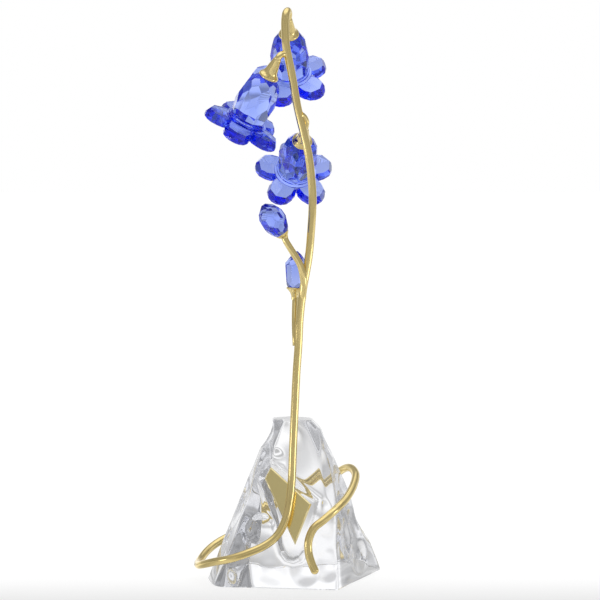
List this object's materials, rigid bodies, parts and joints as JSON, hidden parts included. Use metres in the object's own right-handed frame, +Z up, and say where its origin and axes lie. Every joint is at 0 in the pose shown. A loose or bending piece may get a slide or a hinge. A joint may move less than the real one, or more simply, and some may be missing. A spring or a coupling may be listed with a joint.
{
  "type": "campanula flower stem ornament",
  "caption": "Standing ornament of a campanula spray: faceted blue crystal bells and buds on a bent gold-coloured rod wound round a clear crystal rock.",
  "frame": {"origin": "middle of the rock's flat underside, on the surface it stands on", "axes": "+Z up along the spray; -Y towards the viewer, the side that carries the metal plate; +X to the viewer's right"},
  "size_m": [0.086, 0.0744, 0.2637],
  "materials": {
    "clear_crystal": "polished, struck facets",
    "blue_crystal": "polished, ground facets",
    "gold_metal": "polished, pale gold",
    "plate_metal": "satin face, bright bevels"
  },
  "bodies": {
    "root": {"crystal_rock": "clear_crystal", "metal_plate": "plate_metal", "stem": "gold_metal", "calyx_left": "gold_metal", "calyx_top": "gold_metal", "calyx_middle": "gold_metal", "bell_left": "blue_crystal", "bell_top": "blue_crystal", "bell_middle": "blue_crystal", "lobes_left": "blue_crystal", "lobes_top": "blue_crystal", "lobes_middle": "blue_crystal", "bud_upper": "blue_crystal", "bud_lower": "blue_crystal"}
  },
  "joints": []
}
